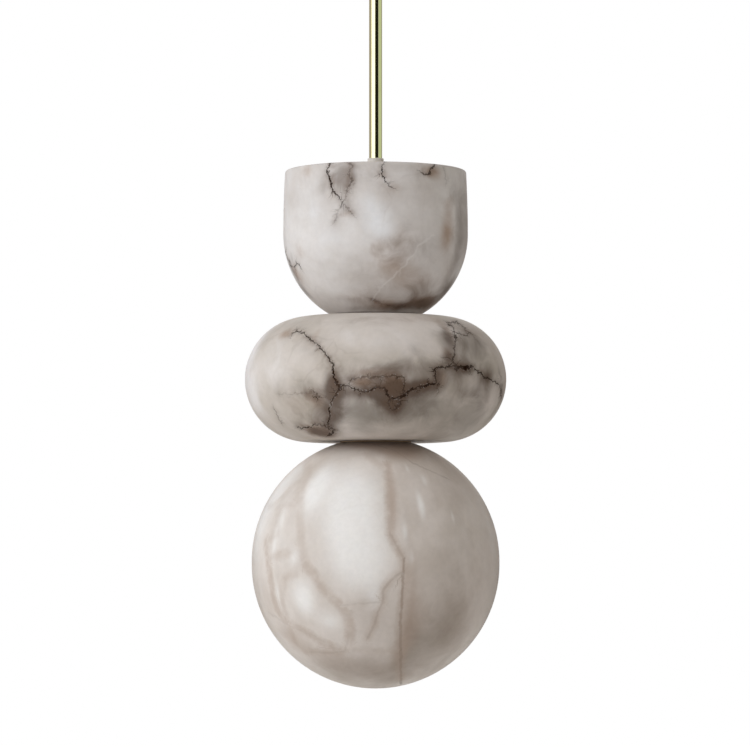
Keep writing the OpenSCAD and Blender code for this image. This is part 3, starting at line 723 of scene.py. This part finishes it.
def stone_material(name, look, move):
    """Alabaster: cloudy ground, stains and patches of painted shade and painted light, haze round the
    veins, the veins, and fine hairs between them.
    """
    s = Shade(name)
    here = s.moved(move)

    def noise(scale, detail, rough, warp=0.0):
        return s.noise(scale, detail, rough, warp, here)

    clouds = noise(CLOUD_SCALE, 3, 0.5, 0.7)
    mottle = noise(MOTTLE_SCALE, 4, 0.6, 0.5)
    grain = noise(GRAIN_SCALE, 3, 0.6)
    streaks = s.noise(STREAK_SCALE, 4, 0.55, 0.6, s.moved(move, look["streak"]))
    shade = s.plus(s.times(clouds, 0.55), s.times(streaks, 0.45))
    shade = s.plus(shade, s.times(s.math("SUBTRACT", mottle, 0.5), 0.12))
    colour = s.mix(s.smooth(shade, 0.36, 0.66), look["ground"], look["deep"])

    # Stains, and patches of painted shade and painted light, whose edges the mottle makes ragged. The dark
    # field also carries the line of painted shade at a stone's foot
    for field, most in (("pale", 0.9), ("grey", 0.85), ("tan", 0.85), ("dark", 0.85)):
        ragged = s.times(s.math("SUBTRACT", mottle, 0.5), look["ragged"])
        share = s.smooth(s.plus(s.attribute(field), ragged), 0.08, 1.0)
        share = s.times(share, s.smooth(s.attribute(field), 0.02, 0.3))
        colour = s.mix(s.times(share, most), colour, look[field])
    haze_share = s.times(s.attribute("haze"), s.smooth(mottle, 0.3, 0.68, 0.25, 1.0))
    colour = s.mix(s.times(haze_share, look["haze_most"]), colour, look["haze"])

    # Fine hairs: the edges of warped cells, only here and there
    drift = s.add("ShaderNodeTexNoise", {"Vector": here, "Scale": DRIFT_SCALE, "Detail": 6})
    bent = s.add("ShaderNodeVectorMath", {0: drift.outputs["Color"], 1: (DRIFT, DRIFT, DRIFT), 2: here},
                 operation="MULTIPLY_ADD")
    cells = s.add("ShaderNodeTexVoronoi", {"Vector": bent.outputs[0], "Scale": look["hair_scale"]},
                  feature="DISTANCE_TO_EDGE")
    hairs = s.smooth(cells.outputs["Distance"], 0.0, 0.035, 1.0, 0.0)
    hairs = s.times(hairs, s.smooth(clouds, 0.46, 0.66))
    colour = s.mix(s.times(hairs, look["hair_most"]), colour, look["haze"])

    def lines(prefix, soft, wobble):
        """Where the veins run: full inside the half width, then fading over a soft edge."""
        off = s.times(s.math("SUBTRACT", noise(WOBBLE_SCALE, 3, 0.75), 0.5), wobble)
        across = s.math("ABSOLUTE", s.plus(s.attribute(prefix + "_side"), off))
        half = s.times(s.attribute(prefix + "_half"), s.smooth(mottle, 0.3, 0.7, 0.45, 1.25))
        outside = s.math("DIVIDE", s.math("SUBTRACT", across, half), soft)
        inside = s.math("SUBTRACT", 1.0, outside, True)
        near = s.smooth(s.attribute(prefix + "_far"), 4.0, 7.0, 1.0, 0.0)
        uneven = s.smooth(noise(UNEVEN_SCALE, 4, 0.6), 0.3, 0.6, look["vein_least"], 1.0)
        share = s.times(s.times(inside, near), uneven)
        return s.times(share, s.attribute(prefix + "_strength"))

    # Hairlines and veins, with crumbs and glints beside the veins
    pale_hairs = lines("hair", 0.8, 1.0)
    colour = s.mix(s.times(pale_hairs, 0.8), colour, look["hair_tint"])
    veins = lines("vein", look["vein_soft"], look["wobble"])
    crumbs = s.smooth(noise(CRUMB_SCALE, 2, 0.6), 0.56, 0.62)
    beside = s.smooth(s.attribute("vein_far"), 0.6, 2.6, look["crumbs"], 0.0)
    crumbs = s.times(s.times(crumbs, beside), s.attribute("vein_strength"))
    veins = s.math("MAXIMUM", veins, crumbs)
    beside = s.smooth(s.attribute("vein_far"), 0.5, 1.8, look["glints"], 0.0)
    specks = s.noise(GLINT_SCALE, 2, 0.6, 0.0, s.moved((3, 5, 7)))
    glints = s.times(s.smooth(specks, 0.56, 0.64), beside)
    colour = s.mix(s.times(glints, s.attribute("vein_strength")), colour, look["pale"])
    colour = s.mix(s.times(veins, look["vein_most"]), colour, look["vein"])

    # Grain, and a polish that the veins break
    speckle = s.smooth(grain, 0.3, 0.7, 0.975, 1.015)
    grey = s.add("ShaderNodeCombineColor", {0: speckle, 1: speckle, 2: speckle})
    colour = s.mix(1.0, colour, grey.outputs[0], "MULTIPLY")
    s.bump(s.plus(s.times(grain, 0.3), s.times(veins, -1.0)), 0.12, 0.0004)
    solid = s.math("SUBTRACT", 1.0, veins, True)
    s.surface({"Subsurface Weight": s.times(solid, GLOW_SHARE), "Subsurface Radius": GLOW_SPREAD,
               "Subsurface Scale": GLOW_REACH})
    return s.finish(colour, s.smooth(mottle, 0.3, 0.7, 0.36, 0.5), specular=s.times(solid, 0.35))


# The tints of a stone, how much of each shows, and half widths of the far side's lines in millimetres
VEINED = {
    "ground": srgb(223, 219, 217), "deep": srgb(201, 194, 189), "pale": srgb(234, 234, 236),
    "tan": srgb(164, 138, 119), "grey": srgb(146, 137, 131), "haze": srgb(108, 84, 68),
    "hair_tint": srgb(236, 234, 232), "dark": srgb(84, 62, 46), "vein": srgb(34, 19, 9),
    "haze_most": 0.9, "hair_scale": 26, "hair_most": 0.1, "vein_soft": 0.28, "vein_most": 0.98,
    "vein_least": 0.6, "wobble": 4.0, "crumbs": 0.45, "glints": 0.25, "ragged": 0.9,
    "streak": (1, 1, 1.6), "vein_halves": (0.3, 0.6), "hair_halves": (0.25, 0.4), "haze_round": True,
}
CREAM = dict(
    VEINED, ground=srgb(213, 205, 199), deep=srgb(190, 181, 171), pale=srgb(231, 227, 226),
    tan=srgb(156, 130, 110), grey=srgb(138, 130, 121), haze=srgb(94, 72, 57), dark=srgb(76, 57, 43),
)
BANDED = dict(
    VEINED, ground=srgb(220, 212, 206), deep=srgb(198, 188, 179), pale=srgb(240, 238, 236),
    tan=srgb(178, 160, 147), grey=srgb(166, 158, 150), haze=srgb(170, 152, 140),
    dark=srgb(140, 122, 108), vein=srgb(184, 168, 156), hair_tint=srgb(128, 112, 101),
    haze_most=0.4, hair_scale=20, hair_most=0.08, vein_soft=4.0, vein_most=0.8, vein_least=0.35,
    wobble=3.5, crumbs=0.0, glints=0.0, ragged=0.35,
    streak=(1.3, 1.3, 0.4), vein_halves=(1.0, 2.0), haze_round=False,
)
# Widths in millimetres of the haze round a vein, of its weaker smoke and of the line of painted shade at a
# foot
HAZE_WIDTH = 2.6
SMOKE_WIDTH = 9.0
SMOKE_SHARE = 0.45
FOOT_SHADE_WIDTH = 1.4
# How far each seed moves a stone's noise along X and Y
SEED_MOVE = (0.37, 0.61)
# How many patches of each kind the far side gets
STREWN = {"pale": 7, "tan": 6, "grey": 6, "dark": 5}


def make_stone(node, outline, body, look, drawn, patches, spread, strewn, seed, foot_shade=0.0):
    """Covers a CAD stone with a fine marked skin. drawn holds its veins and hairlines, spread how far they
    stray in pixels, strewn how many of each the far side gets, and the last argument the strength of a line
    of painted shade where its foot meets the next stone."""
    rng = np.random.default_rng(seed)
    low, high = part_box(node)
    piece, points = revolve(node + "_skin", outline)
    mesh = piece.data
    tree = BVHTree.FromPolygons(points.tolist(), [tuple(f.vertices) for f in mesh.polygons])
    normals = np.empty(len(points) * 3)
    mesh.vertex_normals.foreach_get("vector", normals)
    normals = normals.reshape(-1, 3)
    haze = np.zeros(len(points))
    for prefix, lines, more in zip(("vein", "hair"), drawn, strewn):
        routes = routes_on(tree, lines, rng, spread)
        routes += far_side(tree, rng, low.z, high.z, high.x, look[prefix + "_halves"], more)
        side, far, kept = nearest(points, normals, routes)
        for field, values in zip(("_side", "_far", "_strength", "_half"), (side, far, *kept.T)):
            give(mesh, prefix + field, values)
        if look["haze_round"] and prefix == "vein":
            haze = haze_round(points, routes, HAZE_WIDTH)
            haze += SMOKE_SHARE * haze_round(points, routes, SMOKE_WIDTH)
    give(mesh, "haze", haze)
    # A line of painted shade where the stone's foot meets the next stone, added to the dark patches
    painted_foot_shade = foot_shade * np.exp(-((points[:, 2] - low.z) / (FOOT_SHADE_WIDTH * MM)) ** 2)
    for field, spots in patches.items():
        # The patches hold stains, and where they are placed so, painted shade and painted light
        stains_and_painted_shading = patches_on(tree, points, spots, rng, low.z, high.z, high.x, STREWN[field])
        give(mesh, field, np.maximum(stains_and_painted_shading, painted_foot_shade) if field == "dark" else stains_and_painted_shading)
    move = (seed * SEED_MOVE[0], seed * SEED_MOVE[1], 0)
    mesh.materials.append(stone_material(node + "_stone", look, move))
    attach(piece, body)
    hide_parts(node)


NO_PATCHES = {field: [] for field in STREWN}
make_camera()
# The cup gets a line of painted shade at its foot, where it sits on the pebble
make_stone("cup", cup_outline(), "pendant", VEINED, (CUP_VEINS, CUP_HAIRLINES), CUP_PATCHES,
           spread=0.65, strewn=(7, 2), seed=3, foot_shade=1.2)
make_stone("pebble", pebble_outline(), "pendant", CREAM, (PEBBLE_VEINS, []), PEBBLE_PATCHES,
           spread=0.7, strewn=(9, 2), seed=5)
make_stone("globe", globe_outline(), "globe", BANDED, (GLOBE_BANDS, GLOBE_HAIRLINES), GLOBE_PATCHES,
           spread=0.25, strewn=(12, 6), seed=8)
make_stone("lid", lid_outline(), "pendant", VEINED, ([], []), NO_PATCHES,
           spread=0.0, strewn=(4, 0), seed=11)


# How tool marks are stretched: round the axis, along it, along a strip and along an extrusion
TURNED = (60, 60, 1500)
DRAWN = (300, 300, 3)
BRUSHED = (22, 1400, 1400)
EXTRUDED = (1100, 1100, 9)
SPANGLE_SCALE = 420
PLASTIC_DUST = srgb(190, 184, 174)
RUBBER_DUST = srgb(150, 142, 134)


def brass(name, tint, dark, roughness, turned=False, relief=0.05):
    """Lacquered brass: slight tarnish, faint drawing or turning marks, and small wear."""
    s = Shade(name)
    tarnish = s.noise(38, 5, 0.6, 0.4)
    marks = s.marks(TURNED if turned else DRAWN)
    rubbed = s.noise(210, 3, 0.5)
    colour = s.mix(s.smooth(tarnish, 0.42, 0.75, 0.0, 0.55), tint, dark)
    rough = s.plus(s.smooth(marks, 0.3, 0.7, roughness * 0.85, roughness * 1.2),
                   s.smooth(rubbed, 0.6, 0.75, 0.0, 0.04))
    s.bump(marks, relief, 0.0001)
    return s.finish(colour, rough, 1.0)


def steel(name, tint, dark):
    """Zinc plated sheet: small spangle, brushed lines and duller spots."""
    s = Shade(name)
    spangle = s.add("ShaderNodeTexVoronoi", {"Vector": s.place, "Scale": SPANGLE_SCALE}, feature="F1")
    lines = s.marks(BRUSHED)
    dull = s.noise(60, 5, 0.6)
    share = s.times(s.smooth(spangle.outputs["Distance"], 0.1, 0.6), 0.35)
    colour = s.mix(s.plus(share, s.smooth(dull, 0.5, 0.7, 0.0, 0.4)), tint, dark)
    s.bump(lines, 0.08, 0.0001)
    return s.finish(colour, s.smooth(lines, 0.3, 0.7, 0.28, 0.42), 1.0)


def aluminium(name, tint, dark):
    """Extruded aluminium: fine lines along the length and a satin skin."""
    s = Shade(name)
    lines = s.marks(EXTRUDED, 5)
    smear = s.noise(45, 4, 0.5)
    colour = s.mix(s.smooth(smear, 0.4, 0.7, 0.0, 0.6), tint, dark)
    s.bump(lines, 0.1, 0.0001)
    return s.finish(colour, s.smooth(lines, 0.3, 0.7, 0.32, 0.45), 1.0)


def plastic(name, tint, dark, texture_scale, roughness):
    """Moulded plastic, and the collar's enamel: fine texture, flow shading and a trace of dust."""
    s = Shade(name)
    texture = s.noise(texture_scale, 2, 0.5)
    flow = s.noise(24, 4, 0.5, 1.2)
    dust = s.noise(120, 5, 0.7)
    colour = s.mix(s.smooth(flow, 0.35, 0.7, 0.0, 0.6), tint, dark)
    colour = s.mix(s.smooth(dust, 0.6, 0.8, 0.0, 0.25), colour, PLASTIC_DUST)
    s.bump(texture, 0.15, 0.0002)
    return s.finish(colour, s.smooth(dust, 0.4, 0.7, roughness, roughness + 0.15))


def rubber(name, tint, dark):
    """Soft silicone: matt, with a cloudy surface and clinging dust."""
    s = Shade(name)
    cloud = s.noise(90, 4, 0.6)
    dust = s.noise(500, 3, 0.6)
    colour = s.mix(s.smooth(cloud, 0.35, 0.7), tint, dark)
    colour = s.mix(s.smooth(dust, 0.62, 0.8, 0.0, 0.3), colour, RUBBER_DUST)
    s.bump(dust, 0.1, 0.0002)
    return s.finish(colour, s.smooth(cloud, 0.3, 0.7, 0.6, 0.8))


# From the axis to a face of the light core, and the board and the emitter on it
CORE_FACE = 14.5 * MM
BOARD_T = 1.2 * MM
EMITTER = BOARD_T + 0.2 * MM


def led_board(name):
    """White boards on a six-sided core. What stands proud of a board is a yellow emitter."""
    s = Shade(name)
    apart = s.add("ShaderNodeSeparateXYZ", {0: s.place})
    x, y = apart.outputs["X"], apart.outputs["Y"]
    reach = s.math("ABSOLUTE", x)
    for angle in (60, 120):
        a = math.radians(angle)
        across = s.plus(s.times(x, math.cos(a)), s.times(y, math.sin(a)))
        reach = s.math("MAXIMUM", reach, s.math("ABSOLUTE", across))
    proud = s.math("GREATER_THAN", reach, CORE_FACE + EMITTER)
    weave = s.noise(900, 3, 0.6)
    age = s.noise(50, 4, 0.6)
    board = s.mix(s.smooth(age, 0.35, 0.7), srgb(240, 240, 232), srgb(222, 220, 205))
    phosphor = s.mix(s.smooth(weave, 0.3, 0.7), srgb(236, 204, 96), srgb(214, 172, 60))
    s.bump(weave, 0.08, 0.0001)
    return s.finish(s.mix(proud, board, phosphor), s.smooth(weave, 0.3, 0.7, 0.4, 0.55))


# Brass comes in six finishes. The collar's enamel has the stone's colour, as the photograph shows
ROD_TINT = (0.82, 0.78, 0.48, 1.0)
ROD_DARK = (0.74, 0.68, 0.38, 1.0)
OLD_TINT = (0.76, 0.62, 0.33, 1.0)
OLD_DARK = (0.58, 0.43, 0.20, 1.0)
LOOKS = [
    (brass("rod_brass", ROD_TINT, ROD_DARK, 0.07, relief=0.01), ["rod"]),
    (plastic("collar_enamel", srgb(206, 200, 193), srgb(190, 183, 175), 1600, 0.35), ["collar"]),
    (brass("canopy_brass", ROD_TINT, ROD_DARK, 0.2, True), ["canopy"]),
    (brass("screw_brass", ROD_TINT, ROD_DARK, 0.24, True), ["canopy_screws"]),
    (brass("swivel_brass", OLD_TINT, OLD_DARK, 0.26, True), ["swivel_body", "swivel_cap"]),
    (brass("ball_brass", OLD_TINT, ROD_DARK, 0.15, True), ["swivel_ball"]),
    (brass("hub_brass", OLD_TINT, OLD_DARK, 0.3, True), ["hub", "globe_neck_ring"]),
    (steel("bracket_steel", (0.66, 0.67, 0.69, 1.0), (0.48, 0.49, 0.51, 1.0)), ["ceiling_bracket"]),
    (steel("zinc_steel", (0.70, 0.70, 0.72, 1.0), (0.50, 0.50, 0.53, 1.0)),
     ["swivel_nuts", "twist_stop_screw", "driver_screws", "terminal_screw", "earth_screw",
      "ball_lock_screw", "centre_tube", "tube_nuts"]),
    (plastic("driver_plastic", srgb(236, 236, 233), srgb(218, 217, 212), 1400, 0.45), ["led_driver"]),
    (plastic("terminal_plastic", srgb(238, 235, 226), srgb(220, 214, 200), 1800, 0.35), ["terminal_block"]),
    (plastic("liner_nylon", srgb(240, 238, 228), srgb(224, 219, 204), 1100, 0.4), ["swivel_liner"]),
    (rubber("seal_rubber", srgb(206, 201, 193), srgb(180, 173, 164)),
     ["lid_seal", "collar_washer", "hub_gasket"]),
    (rubber("joint_rubber", srgb(86, 70, 60), srgb(60, 48, 41)), ["cup_gasket"]),
    (rubber("washer_rubber", srgb(214, 190, 160), srgb(190, 166, 136)), ["globe_washer"]),
    (aluminium("core_aluminium", (0.78, 0.79, 0.81, 1.0), (0.62, 0.63, 0.66, 1.0)),
     ["cup_heatsink", "pebble_heatsink", "globe_heatsink"]),
    (led_board("led_board"), ["cup_led_boards", "pebble_led_boards", "globe_led_boards"]),
]
for look, names in LOOKS:
    for name in names:
        node = NODES[name]
        for holder in node.material_slots:
            holder.material = look
        if not node.material_slots:
            node.data.materials.append(look)


def make_floor(drop, half, lift, full, near, far):
    """Pale plaster. Its glow for eyes alone makes up for lamps that point at the object. It grows from
    lift to full between near and far, where the floor turns into the white of the background."""
    z = middle("globe").z - drop
    corners = [(-half, -half, z), (half, -half, z), (half, half, z), (-half, half, z)]
    mesh = bpy.data.meshes.new("floor")
    mesh.from_pydata(corners, [], [(0, 1, 2, 3)])
    floor = put("floor", mesh)
    s = Shade("floor")
    plaster = s.noise(2, 5, 0.6)
    colour = s.mix(s.smooth(plaster, 0.3, 0.7), srgb(222, 220, 217), srgb(217, 215, 212))
    path = s.add("ShaderNodeLightPath")
    away = s.add("ShaderNodeVectorMath", {0: s.place}, operation="LENGTH")
    glow = s.smooth(away.outputs["Value"], near, far, lift, full)
    s.surface({"Emission Color": colour, "Emission Strength": s.times(path.outputs["Is Camera Ray"], glow)})
    rough = s.smooth(plaster, 0.3, 0.7, 0.75, 0.9)
    mesh.materials.append(s.finish(colour, rough, specular=0.1))

    # Clear from below, so that views from there see the light and not the floor
    under = s.add("ShaderNodeNewGeometry").outputs["Backfacing"]
    clear = s.add("ShaderNodeBsdfTransparent").outputs[0]
    shown = s.add("ShaderNodeMixShader", {0: under, 1: s.shader.outputs[0], 2: clear})
    s.feed(s.tree.nodes["Material Output"].inputs["Surface"], shown.outputs[0])
    floor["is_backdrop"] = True


def make_lamp(name, place, target, width, height, watts, tint):
    data = bpy.data.lights.new(name, "AREA")
    data.shape = "RECTANGLE"
    data.size, data.size_y = width, height
    data.energy = watts
    data.color = tint
    lamp = put(name, data)
    lamp.location = place
    lamp.rotation_euler = (Vector(target) - Vector(place)).to_track_quat("-Z", "Y").to_euler()
    lamp.visible_glossy = False


def make_card(name, start, end, distance, heights, shade, soft):
    """A curved studio card that only reflections see. start, end and soft, the width of its fading
    ends, are in degrees of azimuth."""
    turns = np.unique(np.concatenate([
        np.linspace(start - soft / 2, start + soft / 2, CARD_END_STEPS),
        np.linspace(start, end, CARD_STEPS),
        np.linspace(end - soft / 2, end + soft / 2, CARD_END_STEPS),
    ]))
    fade = np.clip(np.minimum(turns - start, end - turns) / soft + 0.5, 0, 1)
    angles = np.radians(turns)
    points = [round_axis(distance, a, z) for z in heights for a in angles]
    steps = len(angles)
    faces = [(i, i + 1, i + 1 + steps, i + steps) for i in range(steps - 1)]
    mesh = bpy.data.meshes.new(name)
    mesh.from_pydata(points, [], faces)
    give(mesh, "fade", np.tile(fade, len(heights)))
    card = put(name, mesh)
    material = bpy.data.materials.new(name + "_look")
    material.use_nodes = True
    s = Nodes(material.node_tree)
    s.tree.nodes.clear()
    glow = s.add("ShaderNodeEmission", {"Color": (*shade, 1.0)}).outputs[0]
    clear = s.add("ShaderNodeBsdfTransparent").outputs[0]
    shown = s.attribute("fade")
    either = s.add("ShaderNodeMixShader", {0: shown, 1: clear, 2: glow}).outputs[0]
    s.add("ShaderNodeOutputMaterial", {0: either})
    mesh.materials.append(material)
    for ray in ("camera", "diffuse", "transmission", "shadow"):
        setattr(card, "visible_" + ray, False)
    card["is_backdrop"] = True


def make_world(ambient, tint):
    """White for eyes, gloss and glass, and a soft even fill for everything else."""
    world = bpy.data.worlds.new("world")
    bpy.context.scene.world = world
    world.use_nodes = True
    s = Nodes(world.node_tree)
    path = s.add("ShaderNodeLightPath").outputs
    seen = s.math("MAXIMUM", path["Is Camera Ray"], path["Is Glossy Ray"])
    seen = s.math("MAXIMUM", seen, path["Is Transmission Ray"])
    fill = (*[ambient * part for part in tint], 1.0)
    back = s.tree.nodes["Background"].inputs
    s.feed(back["Color"], s.mix(seen, fill, (1.0, 1.0, 1.0, 1.0)))
    s.feed(back["Strength"], 1.0)


# Lamps: place across, along and above the pebble's middle, width and height in metres, watts and tint
LAMPS = {
    "key": (-2.1, -1.8, 1.1, 1.6, 1.8, 60, (0.95, 0.98, 1.01)),
    "fill": (2.4, -1.5, 1.2, 1.6, 1.6, 14.5, (1.0, 0.97, 0.93)),
    "left": (-2.8, 0.7, 0.6, 1.2, 1.6, 13, (0.95, 0.98, 1.01)),
    "back": (0.3, 2.9, 1.2, 1.8, 1.6, 55, (1.0, 0.98, 0.95)),
}
# Cards round the light, which give the rod its stripes: start and end in degrees, and shade
CARDS = {
    "edge_card": (-180, -80, (0.42, 0.38, 0.36)),
    "bright_card": (-80, -13, (1.9, 1.9, 1.9)),
    "dark_card": (-13, 53, (0.012, 0.012, 0.008)),
    "right_card": (53, 125, (0.58, 0.66, 0.52)),
    "far_card": (125, 180, (0.36, 0.33, 0.30)),
}
CARD_FAR = 1.6
CARD_HEIGHTS = (-0.07, 0.25)
CARD_SOFT = 10.0
CARD_STEPS = 10
CARD_END_STEPS = 3
# Dark upright strips further out than the cards, which only reflections see too
STRIPS = [(17, 43), (100, 170), (197, 223), (287, 313)]
STRIP_FAR = 2.6
STRIP_HEIGHTS = (-2.0, 2.5)
STRIP_SHADE = (0.05, 0.045, 0.04)
STRIP_SOFT = 12.0
STACK = middle("pebble")
make_floor(drop=0.75, half=12.0, lift=0.75, full=1.2, near=1.5, far=5.0)
make_world(ambient=0.28, tint=(1.0, 0.94, 0.88))
for name, (x, y, above, width, height, watts, tint) in LAMPS.items():
    make_lamp(name, (x, y, STACK.z + above), STACK, width, height, watts, tint)
for name, (start, end, shade) in CARDS.items():
    make_card(name, start, end, CARD_FAR, CARD_HEIGHTS, shade, CARD_SOFT)
for number, (start, end) in enumerate(STRIPS):
    make_card("strip_" + str(number), start, end, STRIP_FAR, STRIP_HEIGHTS, STRIP_SHADE, STRIP_SOFT)
bpy.context.scene.view_settings.view_transform = "Standard"

boxes = {"cad": cad_box, "visual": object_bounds()}
{k: [list(corner) for corner in v] for k, v in boxes.items()}
